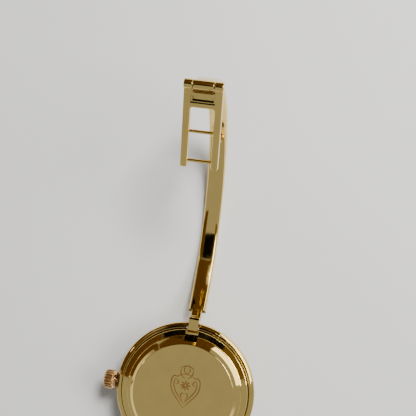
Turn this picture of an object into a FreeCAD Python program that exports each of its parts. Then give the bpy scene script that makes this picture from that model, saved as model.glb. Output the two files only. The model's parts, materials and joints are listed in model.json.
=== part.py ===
"""Lady's bangle watch lying open: a quartz watch case whose two rigid bangle arms are hinged at 12 and 6 o'clock.

Frame: the origin is the centre of the flat case back, +Z points out of the back towards the wrist, +Y points to
12 o'clock and the crown is on -X. All lengths are millimetres and all angles are degrees.
"""
import FreeCAD, Part
import math
import os

import Sketcher

DIMENSIONS = {
    # Case, seen from the back. Heights are measured down from the case back.
    "case_radius": 12.8,
    "case_bevel": 0.4,
    "rim_z": -2.2,
    "flank_z": -4.1,
    "face_z": -4.75,
    "face_radius": 12.4,
    "bore_radius": 9.2,
    "sight_radius": 8.9,
    "dial_seat_z": -3.8,
    "back_seat_z": -2.45,
    "groove_radius": 11.85,
    "notch_width": 2.35,
    "notch_floor": 9.7,
    "notch_sill": 11.2,
    "notch_base_z": -4.1,
    # Case back: a raised plate, a steep wall, a cone and an outer shoulder ring.
    "plate_radius": 9.3,
    "wall_radius": 9.55,
    "wall_z": -0.75,
    "cone_radius": 10.5,
    "cone_z": -1.3,
    "shoulder_z": -1.5,
    "back_radius": 11.65,
    "back_edge_z": -1.75,
    "back_inner_z": -0.5,
    "lip_radius": 8.85,
    "lip_inner": 8.35,
    "lip_z": -2.7,
    # Bezel, crystal and dial.
    "bezel_radius": 12.4,
    "bezel_shoulder_z": -5.0,
    "bezel_inner": 10.15,
    "bezel_crest": 11.0,
    "bezel_z": -5.4,
    "crystal_radius": 9.85,
    "crystal_z": -5.6,
    "crystal_bevel": 0.25,
    "gasket_z": -5.25,
    "gasket_height": 0.25,
    "dial_radius": 9.1,
    "dial_thickness": 0.25,
    "marker_reach": 8.2,
    "marker_length": 1.3,
    "marker_width": 0.32,
    "marker_height": 0.12,
    "dial_hole": 0.75,
    # Hands, on the dial side.
    "hour_hand_z": -4.05,
    "minute_hand_z": -4.3,
    "hand_thickness": 0.1,
    "hour_hand_length": 4.6,
    "minute_hand_length": 7.2,
    "hand_width": 0.55,
    "hour_hub": 0.8,
    "minute_hub": 0.6,
    # Movement.
    "movement_radius": 7.6,
    "plate_low": -3.5,
    "plate_high": -2.3,
    "bridge_low": -1.1,
    "bridge_high": -0.75,
    "motion_floor": -2.8,
    "motion_well_radius": 2.95,
    "motion_well_x": -0.35,
    "gear_module": 0.06,
    "motion_module": 0.08,
    "gear_thickness": 0.18,
    "pinion_height": 0.45,
    "arbor_radius": 0.16,
    "pivot_radius": 0.112,
    "pivot_reach": 0.3,
    "bush_clearance": 0.02,
    "centre_lift": 0.12,
    "middle_lift": 0.5,
    "motion_lift": 0.1,
    "cannon_radius": 0.3,
    "cannon_height": 0.28,
    "hour_tube": 0.55,
    "magnet_radius": 0.55,
    "magnet_low": 0.05,
    "magnet_high": 0.4,
    "pillar_radius": 0.55,
    "screw_radius": 0.48,
    "screw_height": 0.2,
    "screw_slot": 0.14,
    "battery_radius": 2.4,
    "battery_height": 1.65,
    "battery_x": 4.6,
    "battery_y": 1.9,
    "clamp_length": 4.6,
    "clamp_width": 1.1,
    "clamp_thickness": 0.14,
    "board_length": 6.2,
    "board_width": 1.7,
    "board_thickness": 0.3,
    "chip_length": 1.6,
    "chip_width": 1.4,
    "chip_height": 0.6,
    "can_radius": 0.62,
    "can_length": 4.6,
    "stator_length": 5.4,
    "stator_width": 2.0,
    "stator_thickness": 0.22,
    "stator_bore": 0.75,
    "coil_radius": 0.54,
    "coil_length": 4.4,
    "pinion_well_length": 2.3,
    "pinion_well_width": 1.3,
    # Crown and stem on the -X side.
    "stem_z": -3.05,
    "stem_radius": 0.3,
    "tube_radius": 0.5,
    "tube_bore": 0.33,
    "crown_radius": 1.78,
    "crown_collar": 1.5,
    "crown_length": 2.4,
    "crown_gap": 0.2,
    "crown_dome": 0.75,
    "crown_recess": 0.95,
    "crown_recess_depth": 1.0,
    "collar_height": 0.38,
    "seal_radius": 0.93,
    "seal_thickness": 0.3,
    "tube_overhang": 1.05,
    "stem_end": 4.2,
    "setting_pinion_radius": 0.5,
    "setting_pinion_length": 0.9,
    "flute_radius": 0.16,
    # Case hinges.
    "hinge_y": 11.7,
    "hinge_z": -3.05,
    "case_pin_radius": 0.35,
    "case_pin_length": 5.6,
    "knuckle_radius": 0.8,
    # Bangle arms: round arcs about a centre above the table.
    "bend_y": 28.8,
    "bend_z": 16.4,
    "arm_radius": 25.9,
    "arm_thickness": 1.2,
    "arm_width": 3.2,
    "arm_face": 2.2,
    "arm_chamfer": 0.45,
    "arm_start": 33.0,
    "tongue_start": 37.5,
    "tongue_width": 1.85,
    "tongue_reach": 2.1,
    "ladder_tip": 110.0,
    "hook_tip": 80.0,
    "clasp_pin_radius": 0.35,
    "pin_clearance": 0.03,
    # Adjusting ladder at the tip of the 12 o'clock arm.
    "ladder_width": 6.1,
    "ladder_rail": 1.2,
    "ladder_length": 13.7,
    "ladder_thickness": 1.0,
    "ladder_head": 3.6,
    "ladder_drop": 26.8,
    "ear_gap": 3.36,
    "rung_radius": 0.275,
    "rung_first": 7.6,
    "rung_last": 12.55,
    "slot_width": 3.3,
    "slot_height": 0.85,
    "slot_centre": 2.15,
    "slot_border": 0.25,
    "slot_recess": 0.3,
    "slot_depth": 0.75,
    "rail_corner": 0.4,
    "root_clearance": 0.12,
    # Hook lever folded back over the outside of the 6 o'clock arm.
    "lever_width": 4.6,
    "lever_thickness": 0.9,
    "lever_span": 27.0,
    "lever_gap": 0.3,
    "lever_bevel": 0.35,
    "claw_width": 1.6,
    "claw_reach": 3.2,
    "claw_end": 4.4,
}

WHEEL_TEETH = {"rotor": 8, "intermediate": 72, "intermediate_pinion": 8, "centre": 80}
MOTION_TEETH = {"cannon": 10, "minute": 30, "minute_pinion": 8, "hour": 32}
CROWN_FLUTES = 20
HOURS = 12
PILLAR_PLACES = ((-5.9, -1.9), (-2.2, -6.4), (2.55, -3.9))
ALONG_X = ((0, 1, 0), 90)
PARTS_FOLDER = "parts"
TINY = 1e-6

doc = FreeCAD.newDocument("bangle_watch")
sheet = doc.addObject("Spreadsheet::Sheet", "dims")
subparts = []


def fill_sheet():
    for row, (name, size) in enumerate(DIMENSIONS.items(), start=1):
        sheet.set(f"A{row}", name)
        sheet.set(f"B{row}", str(size))
        sheet.setAlias(f"B{row}", name)
    doc.recompute()


def value(formula):
    """A sheet formula as a plain number."""
    return float(sheet.evalExpression(formula))


def d(name):
    return value(f"dims.{name}")


def keep(obj, label):
    """Give a finished sub-part its label and remember it for writing."""
    obj.Label = label
    subparts.append(obj)
    return obj


def new_body(name):
    return doc.addObject("PartDesign::Body", name)


def origin_feature(body, role):
    return next(item for item in body.Origin.OriginFeatures if item.Role == role)


def sketch_on(body, name, plane, lift):
    sketch = body.newObject("Sketcher::SketchObject", name)
    sketch.AttachmentSupport = (origin_feature(body, plane), [""])
    sketch.MapMode = "FlatFace"
    sketch.setExpression("AttachmentOffset.Base.z", lift)
    return sketch


def polygon(body, name, plane, corners, lift="0"):
    """A closed outline whose corners are pairs of sheet formulas."""
    sketch = sketch_on(body, name, plane, lift)
    points = [FreeCAD.Vector(value(u), value(v), 0) for u, v in corners]
    count = len(points)
    for index, point in enumerate(points):
        sketch.addGeometry(Part.LineSegment(point, points[(index + 1) % count]), False)
    for index in range(count):
        sketch.addConstraint(Sketcher.Constraint("Coincident", index, 2, (index + 1) % count, 1))
    for index, pair in enumerate(corners):
        for kind, formula in zip(("DistanceX", "DistanceY"), pair):
            made = sketch.addConstraint(Sketcher.Constraint(kind, -1, 1, index, 1, value(formula)))
            sketch.setExpression(f"Constraints[{made}]", formula)
    return sketch


def circle(body, name, plane, centre, radius, lift="0"):
    """A circle whose centre and radius are sheet formulas."""
    sketch = sketch_on(body, name, plane, lift)
    u, v = centre
    middle = FreeCAD.Vector(value(u), value(v), 0)
    sketch.addGeometry(Part.Circle(middle, FreeCAD.Vector(0, 0, 1), value(radius)), False)
    for kind, formula in (("DistanceX", u), ("DistanceY", v)):
        made = sketch.addConstraint(Sketcher.Constraint(kind, -1, 1, 0, 3, value(formula)))
        sketch.setExpression(f"Constraints[{made}]", formula)
    made = sketch.addConstraint(Sketcher.Constraint("Radius", 0, value(radius)))
    sketch.setExpression(f"Constraints[{made}]", radius)
    return sketch


def pad(body, sketch, length, both_ways=False):
    feature = body.newObject("PartDesign::Pad", sketch.Name + "_pad")
    feature.Profile = sketch
    feature.setExpression("Length", length)
    if both_ways:
        feature.SideType = "Symmetric"
    return feature


def pocket(body, sketch, length, both_ways=False, upward=False):
    """Cut a sketch out of the body and make sure that it removed material."""
    doc.recompute()
    before = body.Shape.Volume
    feature = body.newObject("PartDesign::Pocket", sketch.Name + "_pocket")
    feature.Profile = sketch
    feature.setExpression("Length", length)
    feature.Reversed = upward
    if both_ways:
        feature.SideType = "Symmetric"
    doc.recompute()
    if before - body.Shape.Volume < TINY:
        raise RuntimeError(f"{feature.Name} cut nothing")
    return feature


def turned(body, name, corners):
    """A solid of revolution about the body's Z axis from (radius, height) corners."""
    sketch = polygon(body, name, "XZ_Plane", corners)
    feature = body.newObject("PartDesign::Revolution", name + "_turned")
    feature.Profile = sketch
    feature.ReferenceAxis = (sketch, ["V_Axis"])
    feature.Angle = 360.0
    return feature


def ring_corners(inner, outer, low, high):
    return [(inner, low), (outer, low), (outer, high), (inner, high)]


def ring(label, inner, outer, low, high):
    body = new_body(label)
    turned(body, label + "_section", ring_corners(inner, outer, low, high))
    return keep(body, label)


def cylinder(name, radius, height, base=("0", "0", "0"), tilt=None):
    """A Part cylinder; tilt is the axis and angle that turn it away from Z."""
    rod = doc.addObject("Part::Cylinder", name)
    rod.setExpression("Radius", radius)
    rod.setExpression("Height", height)
    if tilt:
        axis, angle = tilt
        rod.Placement.Rotation = FreeCAD.Rotation(FreeCAD.Vector(*axis), angle)
    for axis_name, formula in zip("xyz", base):
        rod.setExpression(f"Placement.Base.{axis_name}", formula)
    return rod


def box(name, size, corner):
    block = doc.addObject("Part::Box", name)
    for side, formula in zip(("Length", "Width", "Height"), size):
        block.setExpression(side, formula)
    for axis_name, formula in zip("xyz", corner):
        block.setExpression(f"Placement.Base.{axis_name}", formula)
    return block


def cut(name, base, *tools):
    """Subtract tools from a base and make sure that each removed material."""
    for number, tool in enumerate(tools):
        feature = doc.addObject("Part::Cut", f"{name}_cut{number}")
        feature.Base = base
        feature.Tool = tool
        doc.recompute()
        if base.Shape.Volume - feature.Shape.Volume < TINY:
            raise RuntimeError(f"{feature.Name} cut nothing")
        base = feature
    return base


def fuse(name, *pieces):
    feature = doc.addObject("Part::MultiFuse", name)
    feature.Shapes = list(pieces)
    return feature


def group(name, pieces):
    feature = doc.addObject("Part::Compound", name)
    feature.Links = pieces
    return feature


def notch(body, name, side, inner, base):
    """A slot at 12 (side +1) or 6 o'clock (side -1) for an arm's tongue, cut from above down to a base height."""
    half = "dims.notch_width / 2"
    near = f"{side} * {inner}"
    far = f"{side} * (dims.case_radius + 1)"
    corners = [(f"-{half}", near), (half, near), (half, far), (f"-{half}", far)]
    sketch = polygon(body, name, "XY_Plane", corners, "1")
    pocket(body, sketch, f"1 - ({base})")


# ---------------------------------------------------------------- case


def make_mid_case():
    body = new_body("mid_case")
    turned(body, "mid_case_section", [
        ("dims.sight_radius", "dims.face_z"),
        ("dims.face_radius", "dims.face_z"),
        ("dims.case_radius", "dims.flank_z"),
        ("dims.case_radius", "dims.rim_z - dims.case_bevel"),
        ("dims.case_radius - dims.case_bevel", "dims.rim_z"),
        ("dims.groove_radius", "dims.rim_z"),
        ("dims.groove_radius", "dims.back_seat_z"),
        ("dims.bore_radius", "dims.back_seat_z"),
        ("dims.bore_radius", "dims.dial_seat_z"),
        ("dims.sight_radius", "dims.dial_seat_z"),
    ])
    for side in (1, -1):
        name = "notch_12" if side > 0 else "notch_6"
        notch(body, name, side, "dims.notch_floor", "dims.notch_base_z")
        notch(body, name + "_mouth", side, "dims.notch_sill", "dims.face_z - 1")
        bore = circle(body, name + "_bore", "YZ_Plane", (f"{side} * dims.hinge_y", "dims.hinge_z"),
                      "dims.case_pin_radius")
        pocket(body, bore, "dims.case_pin_length", both_ways=True)
    tube_bore = circle(body, "tube_bore", "YZ_Plane", ("0", "dims.stem_z"), "dims.tube_radius",
                       "-dims.sight_radius + 0.5")
    pocket(body, tube_bore, "dims.case_radius")
    return keep(body, "mid_case")


def make_case_back():
    body = new_body("case_back")
    turned(body, "case_back_section", [
        ("0", "dims.back_inner_z"),
        ("dims.lip_inner", "dims.back_inner_z"),
        ("dims.lip_inner", "dims.lip_z"),
        ("dims.lip_radius", "dims.lip_z"),
        ("dims.lip_radius", "dims.back_seat_z"),
        ("dims.back_radius", "dims.back_seat_z"),
        ("dims.back_radius", "dims.back_edge_z"),
        ("dims.back_radius - 0.12", "dims.back_edge_z + 0.1"),
        ("dims.cone_radius", "dims.shoulder_z"),
        ("dims.cone_radius - 0.08", "dims.cone_z"),
        ("dims.wall_radius", "dims.wall_z"),
        ("dims.plate_radius", "-0.12"),
        ("dims.plate_radius - 0.12", "0"),
        ("0", "0"),
    ])
    notch(body, "back_notch_12", 1, "dims.notch_floor", "dims.notch_base_z")
    notch(body, "back_notch_6", -1, "dims.notch_floor", "dims.notch_base_z")
    return keep(body, "case_back")


def make_bezel():
    body = new_body("bezel")
    turned(body, "bezel_section", [
        ("dims.bezel_inner", "dims.face_z"),
        ("dims.bezel_radius", "dims.face_z"),
        ("dims.bezel_radius", "dims.bezel_shoulder_z"),
        ("dims.bezel_crest", "dims.bezel_z"),
        ("dims.bezel_inner", "dims.bezel_z"),
    ])
    return keep(body, "bezel")


def make_crystal():
    body = new_body("crystal")
    turned(body, "crystal_section", [
        ("0", "dims.face_z"),
        ("dims.crystal_radius", "dims.face_z"),
        ("dims.crystal_radius", "dims.crystal_z + dims.crystal_bevel"),
        ("dims.crystal_radius - dims.crystal_bevel", "dims.crystal_z"),
        ("0", "dims.crystal_z"),
    ])
    return keep(body, "crystal")


def make_case():
    make_mid_case()
    make_case_back()
    make_bezel()
    make_crystal()
    ring("crystal_gasket", "dims.crystal_radius", "dims.bezel_inner", "dims.gasket_z", "dims.face_z")
    ring("case_back_gasket", "dims.lip_radius", "dims.bore_radius", "dims.back_seat_z - dims.gasket_height",
         "dims.back_seat_z")
    pins = [
        cylinder(f"case_pin_{name}", "dims.case_pin_radius", "dims.case_pin_length",
                 ("-dims.case_pin_length / 2", f"{side} * dims.hinge_y", "dims.hinge_z"), ALONG_X)
        for name, side in (("12", 1), ("6", -1))
    ]
    keep(group("case_hinge_pins", pins), "case_hinge_pins")


# ---------------------------------------------------------------- dial and hands


def make_dial():
    top = "dims.dial_seat_z + dims.dial_thickness"
    body = new_body("dial")
    turned(body, "dial_section", ring_corners("dims.dial_hole", "dims.dial_radius", "dims.dial_seat_z", top))
    keep(body, "dial")
    markers = []
    for hour in range(HOURS):
        angle = 360.0 * hour / HOURS
        marker = box(f"marker_{hour}", ("dims.marker_length", "dims.marker_width", "dims.marker_height"),
                     ("0", "0", "0"))
        turn = FreeCAD.Rotation(FreeCAD.Vector(0, 0, 1), angle)
        marker.setExpression("Placement.Base.x", f"(dims.marker_reach - dims.marker_length) * cos({angle})"
                             f" + dims.marker_width / 2 * sin({angle})")
        marker.setExpression("Placement.Base.y", f"(dims.marker_reach - dims.marker_length) * sin({angle})"
                             f" - dims.marker_width / 2 * cos({angle})")
        marker.setExpression("Placement.Base.z", "dims.dial_seat_z - dims.marker_height")
        marker.Placement.Rotation = turn
        markers.append(marker)
    keep(group("hour_markers", markers), "hour_markers")


def make_hand(label, length, hub, bore, low):
    """A tapered hand lying along +Y with a round hub pressed on its arbor."""
    body = new_body(label)
    half = "dims.hand_width / 2"
    blade = polygon(body, label + "_blade", "XY_Plane", [
        (f"-{half}", "0"), (half, "0"), (f"{half} * 0.8", f"{length} * 0.6"), ("0", length),
        (f"-{half} * 0.8", f"{length} * 0.6"),
    ], low)
    pad(body, blade, "dims.hand_thickness")
    boss = circle(body, label + "_boss", "XY_Plane", ("0", "0"), hub, low)
    pad(body, boss, "dims.hand_thickness")
    hole = circle(body, label + "_hole", "XY_Plane", ("0", "0"), bore, f"{low} + dims.hand_thickness")
    pocket(body, hole, "dims.hand_thickness")
    return keep(body, label)


# ---------------------------------------------------------------- gears


def gear_solid(teeth, module, thickness):
    """A spur wheel with straight-sided teeth, lying on the XY plane."""
    tip = module * (teeth / 2 + 0.8)
    root = module * (teeth / 2 - 0.9)
    pitch_angle = 2 * math.pi / teeth
    corners = []
    for tooth in range(teeth):
        middle = tooth * pitch_angle
        for radius, share in ((root, -0.32), (tip, -0.12), (tip, 0.12), (root, 0.32)):
            angle = middle + share * pitch_angle
            corners.append(FreeCAD.Vector(radius * math.cos(angle), radius * math.sin(angle), 0))
    corners.append(corners[0])
    return Part.Face(Part.makePolygon(corners)).extrude(FreeCAD.Vector(0, 0, thickness))


def rod_solid(radius, low, high):
    return Part.makeCylinder(radius, high - low, FreeCAD.Vector(0, 0, low))


def gear_part(label, solids, x, y):
    """One turning piece of several coaxial solids, put in place after its shape is set."""
    shape = solids[0].multiFuse(solids[1:]).removeSplitter() if len(solids) > 1 else solids[0]
    feature = doc.addObject("Part::Feature", label)
    feature.Shape = shape
    feature.Placement = FreeCAD.Placement(FreeCAD.Vector(x, y, 0), FreeCAD.Rotation())
    return keep(feature, label)


def at_height(solid, z):
    return solid.translated(FreeCAD.Vector(0, 0, z))


def train_places():
    """Axis positions of the train, worked out from the tooth counts."""
    going = d("gear_module") / 2
    motion = d("motion_module") / 2
    centre_reach = going * (WHEEL_TEETH["centre"] + WHEEL_TEETH["intermediate_pinion"])
    rotor_reach = going * (WHEEL_TEETH["intermediate"] + WHEEL_TEETH["rotor"])
    motion_reach = motion * (MOTION_TEETH["cannon"] + MOTION_TEETH["minute"])
    wheel_way = math.radians(265)
    rotor_way = math.radians(215)
    motion_way = math.radians(180)
    intermediate = (centre_reach * math.cos(wheel_way), centre_reach * math.sin(wheel_way))
    rotor = (intermediate[0] + rotor_reach * math.cos(rotor_way),
             intermediate[1] + rotor_reach * math.sin(rotor_way))
    minute = (motion_reach * math.cos(motion_way), motion_reach * math.sin(motion_way))
    return {"intermediate": intermediate, "rotor": rotor, "minute": minute}


def make_train():
    places = train_places()
    module = d("gear_module")
    motion = d("motion_module")
    thick = d("gear_thickness")
    pinion = d("pinion_height")
    plate_high = d("plate_high")
    bridge_high = d("bridge_high")
    clearance = d("bush_clearance")
    pivot_low = plate_high - d("pivot_reach")
    motion_z = d("plate_low") + d("motion_lift")
    centre_z = plate_high + d("centre_lift")
    middle_z = plate_high + d("middle_lift")
    magnet_top = plate_high + d("magnet_high")
    long_pivot = rod_solid(d("pivot_radius"), pivot_low, bridge_high - 2.5 * clearance)

    gear_part("centre_wheel", [
        at_height(gear_solid(WHEEL_TEETH["centre"], module, thick), centre_z),
        rod_solid(d("cannon_radius"), d("minute_hand_z"), centre_z),
        rod_solid(d("arbor_radius"), centre_z, bridge_high - clearance),
        at_height(gear_solid(MOTION_TEETH["cannon"], motion, d("cannon_height")), motion_z + d("cannon_radius")),
    ], 0, 0)
    gear_part("intermediate_wheel", [
        at_height(gear_solid(WHEEL_TEETH["intermediate"], module, thick), middle_z),
        at_height(gear_solid(WHEEL_TEETH["intermediate_pinion"], module, pinion), middle_z - pinion),
        long_pivot,
    ], *places["intermediate"])
    gear_part("rotor", [
        rod_solid(d("magnet_radius"), plate_high + d("magnet_low"), magnet_top),
        at_height(gear_solid(WHEEL_TEETH["rotor"], module, pinion), magnet_top),
        long_pivot,
    ], *places["rotor"])
    gear_part("minute_wheel", [
        at_height(gear_solid(MOTION_TEETH["minute"], motion, thick), motion_z + d("magnet_high")),
        at_height(gear_solid(MOTION_TEETH["minute_pinion"], motion, d("magnet_high")), motion_z),
        rod_solid(d("pivot_radius"), motion_z, d("motion_floor") + d("pivot_reach")),
    ], *places["minute"])
    hour_hand_z = d("hour_hand_z")
    hour_body = at_height(gear_solid(MOTION_TEETH["hour"], motion, thick), motion_z).fuse(
        rod_solid(d("hour_tube"), hour_hand_z, motion_z + thick))
    hour_bore = rod_solid(d("cannon_radius") + 2.5 * clearance, hour_hand_z - 1, 0)
    gear_part("hour_wheel", [hour_body.cut(hour_bore)], 0, 0)
    return places


# ---------------------------------------------------------------- movement


def make_main_plate(places):
    height = "dims.plate_high - dims.plate_low"
    blank = cylinder("plate_blank", "dims.movement_radius", height, ("0", "0", "dims.plate_low"))
    motion_well = cylinder("motion_well", "dims.motion_well_radius", "dims.motion_floor - dims.plate_low + 1",
                           ("dims.motion_well_x", "0", "dims.plate_low - 1"))
    battery_well = cylinder("battery_well", "dims.battery_radius + 0.1", "2",
                            ("dims.battery_x", "dims.battery_y", "dims.bridge_high - dims.battery_height - 0.02"))
    stem_hole = cylinder("stem_hole", "dims.stem_radius + 0.06", "6",
                         ("-dims.movement_radius - 1", "0", "dims.stem_z"), ALONG_X)
    pinion_well = box("pinion_well", ("dims.pinion_well_length", "dims.pinion_well_width", "1.4"),
                      ("-6.2", "-dims.pinion_well_width / 2", "dims.plate_low - 0.1"))
    centre_hole = cylinder("centre_hole", "dims.cannon_radius + 0.06", "4", ("0", "0", "-4"))
    tools = [motion_well, battery_well, stem_hole, pinion_well, centre_hole]
    for name in ("intermediate", "rotor", "minute"):
        x, y = places[name]
        low = "dims.motion_floor - 0.05" if name == "minute" else "dims.plate_high - 0.35"
        tools.append(cylinder(f"{name}_pivot", "dims.pivot_radius + dims.bush_clearance", "0.4",
                              (str(x), str(y), low)))
    keep(cut("main_plate", blank, *tools), "main_plate")


def make_bridge(places):
    height = "dims.bridge_high - dims.bridge_low"
    blank = cylinder("bridge_blank", "dims.movement_radius - 0.2", height, ("0", "0", "dims.bridge_low"))
    spare = box("bridge_spare", ("16", "9", "1"), ("-8", "0.9", "dims.bridge_low - 0.2"))
    side = box("bridge_side", ("6", "16", "1"), ("2.9", "-8", "dims.bridge_low - 0.2"))
    battery_room = cylinder("battery_room", "dims.battery_radius + 0.25", "2",
                            ("dims.battery_x", "dims.battery_y", "dims.bridge_low - 1"))
    tools = [spare, side, battery_room]
    bushes = {"centre": ((0, 0), "dims.arbor_radius"), "intermediate": (places["intermediate"], "dims.pivot_radius"),
              "rotor": (places["rotor"], "dims.pivot_radius")}
    for name, ((x, y), radius) in bushes.items():
        tools.append(cylinder(f"{name}_bush", f"{radius} + dims.bush_clearance", "1",
                              (str(x), str(y), "dims.bridge_low - 0.2")))
    bridge = cut("train_bridge", blank, *tools)
    pillars = []
    screws = []
    for number, (x, y) in enumerate(PILLAR_PLACES):
        pillars.append(cylinder(f"pillar_{number}", "dims.pillar_radius", "dims.bridge_low - dims.plate_high",
                                (str(x), str(y), "dims.plate_high")))
        head = cylinder(f"screw_head_{number}", "dims.screw_radius", "dims.screw_height",
                        (str(x), str(y), "dims.bridge_high"))
        slot = box(f"screw_slot_{number}", ("2.5 * dims.screw_radius", "dims.screw_slot", "dims.screw_height"),
                   (f"{x} - 1.25 * dims.screw_radius", f"{y} - dims.screw_slot / 2",
                    "dims.bridge_high + dims.screw_height / 2"))
        screws.append(cut(f"screw_{number}", head, slot))
    keep(fuse("train_bridge_whole", bridge, *pillars), "train_bridge")
    keep(group("bridge_screws", screws), "bridge_screws")


def make_movement_ring():
    """The spacer between the movement and the case back's lip, with a hole for the stem."""
    height = "-1 - dims.plate_low"
    spacer = cylinder("spacer_outside", "dims.lip_inner - 0.1", height, ("0", "0", "dims.plate_low"))
    room = cylinder("spacer_inside", "dims.movement_radius + 0.03", "4", ("0", "0", "dims.plate_low - 0.5"))
    stem_gate = cylinder("stem_gate", "dims.stem_radius + 0.06", "4",
                         ("-dims.lip_inner - 1", "0", "dims.stem_z"), ALONG_X)
    keep(cut("movement_ring", spacer, room, stem_gate), "movement_ring")


def make_power():
    """The cell with its clamp, and the circuit board with its driver chip and quartz can."""
    keep(cylinder("battery_cell", "dims.battery_radius", "dims.battery_height - 0.05",
                  ("dims.battery_x", "dims.battery_y", "dims.bridge_high - dims.battery_height")), "battery")
    keep(box("clamp_spring", ("dims.clamp_length", "dims.clamp_width", "dims.clamp_thickness"),
             ("dims.battery_x - dims.clamp_length / 2", "dims.battery_y - dims.clamp_width / 2",
              "dims.bridge_high - 0.05")), "battery_clamp")
    keep(box("board_blank", ("dims.board_length", "dims.board_width", "dims.board_thickness"),
             ("-5.2", "2.6", "dims.plate_high")), "circuit_board")
    keep(box("chip_blank", ("dims.chip_length", "dims.chip_width", "dims.chip_height"),
             ("-2.4", "2.75", "dims.plate_high + dims.board_thickness")), "driver_chip")
    keep(cylinder("can", "dims.can_radius", "dims.can_length",
                  ("-4.4", "5.0", "dims.plate_high + dims.can_radius + 0.01"), ALONG_X), "quartz_can")


def make_movement():
    places = make_train()
    make_main_plate(places)
    make_bridge(places)
    make_movement_ring()
    make_power()
    make_stepper(places)


def make_stepper(places):
    """The stator plate with its bore round the rotor, and the coil wound on its core."""
    x, y = places["rotor"]
    stator = box("stator_blank", ("dims.stator_length", "dims.stator_width", "dims.stator_thickness"),
                 (f"{x} - 1.4", f"{y} - dims.stator_width / 2", "dims.plate_high + 0.1"))
    bore = cylinder("stator_bore", "dims.stator_bore", "2", (str(x), str(y), "dims.plate_high - 1"))
    keep(cut("stator_plate", stator, bore), "stator")
    keep(cylinder("coil_winding", "dims.coil_radius", "dims.coil_length",
                  ("-0.9", "-5.75", "dims.plate_high + 0.6"), ALONG_X), "coil")


# ---------------------------------------------------------------- crown


def make_crown():
    collar = "-(dims.case_radius + dims.crown_gap)"
    body = new_body("crown")
    turned(body, "crown_section", [
        ("0", "dims.crown_recess_depth"),
        ("dims.crown_recess", "dims.crown_recess_depth"),
        ("dims.crown_recess", "0"),
        ("dims.crown_collar", "0"),
        ("dims.crown_collar", "dims.collar_height"),
        ("dims.crown_radius", "dims.collar_height + 0.07"),
        ("dims.crown_radius", "dims.crown_length - dims.crown_dome"),
        ("dims.crown_radius * 0.93", "dims.crown_length - dims.crown_dome * 0.55"),
        ("dims.crown_radius * 0.72", "dims.crown_length - dims.crown_dome * 0.2"),
        ("dims.crown_radius * 0.4", "dims.crown_length - dims.crown_dome * 0.03"),
        ("0", "dims.crown_length"),
    ])
    flute = circle(body, "flute", "XY_Plane", ("dims.crown_radius + 0.05", "0"), "dims.flute_radius",
                   "dims.crown_length")
    first = pocket(body, flute, "dims.crown_length - 0.42")
    ring_of_flutes = body.newObject("PartDesign::PolarPattern", "flutes")
    ring_of_flutes.Originals = [first]
    ring_of_flutes.Axis = (origin_feature(body, "Z_Axis"), [""])
    ring_of_flutes.Angle = 360.0
    ring_of_flutes.Occurrences = CROWN_FLUTES
    body.Tip = ring_of_flutes
    body.Placement.Rotation = FreeCAD.Rotation(FreeCAD.Vector(0, 1, 0), -90)
    body.setExpression("Placement.Base.x", collar)
    body.setExpression("Placement.Base.z", "dims.stem_z")
    keep(body, "crown")

    outside = "-dims.case_radius - 2"
    tube_end = "-dims.case_radius - dims.tube_overhang"
    tube = cylinder("tube_outside", "dims.tube_radius",
                    "dims.case_radius + dims.tube_overhang - dims.bore_radius - 0.05",
                    (tube_end, "0", "dims.stem_z"), ALONG_X)
    tube_bore = cylinder("tube_inside", "dims.tube_bore", "8", (outside, "0", "dims.stem_z"), ALONG_X)
    keep(cut("crown_tube", tube, tube_bore), "crown_tube")
    seal = cylinder("seal_outside", "dims.seal_radius", "dims.seal_thickness",
                    ("-dims.case_radius - 0.55", "0", "dims.stem_z"), ALONG_X)
    seal_bore = cylinder("seal_inside", "dims.tube_radius + 0.02", "2", (outside, "0", "dims.stem_z"), ALONG_X)
    keep(cut("crown_gasket", seal, seal_bore), "crown_gasket")
    stem_start = "dims.case_radius + dims.crown_gap + dims.crown_recess_depth"
    keep(cylinder("stem_rod", "dims.stem_radius", f"{stem_start} - dims.stem_end",
                  (f"-({stem_start})", "0", "dims.stem_z"), ALONG_X), "setting_stem")
    pinion = cylinder("pinion_blank", "dims.setting_pinion_radius", "dims.setting_pinion_length",
                      ("-dims.stem_end - 1", "0", "dims.stem_z"), ALONG_X)
    pinion_bore = cylinder("pinion_bore", "dims.stem_radius", "3", ("-6.5", "0", "dims.stem_z"), ALONG_X)
    keep(cut("bored_pinion", pinion, pinion_bore), "sliding_pinion")


# ---------------------------------------------------------------- bangle arms


def arc_sweep(body, name, corners, start, end):
    """Revolve a (width, height) section at the lowest point of the arm about the bend's X axis."""
    sketch = polygon(body, name, "XZ_Plane", corners)
    feature = body.newObject("PartDesign::Revolution", name + "_sweep")
    feature.Profile = sketch
    feature.ReferenceAxis = (sketch, ["H_Axis"])
    feature.Type = "TwoAngles"
    feature.setExpression("Angle", end)
    feature.setExpression("Angle2", start)
    return feature


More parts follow.
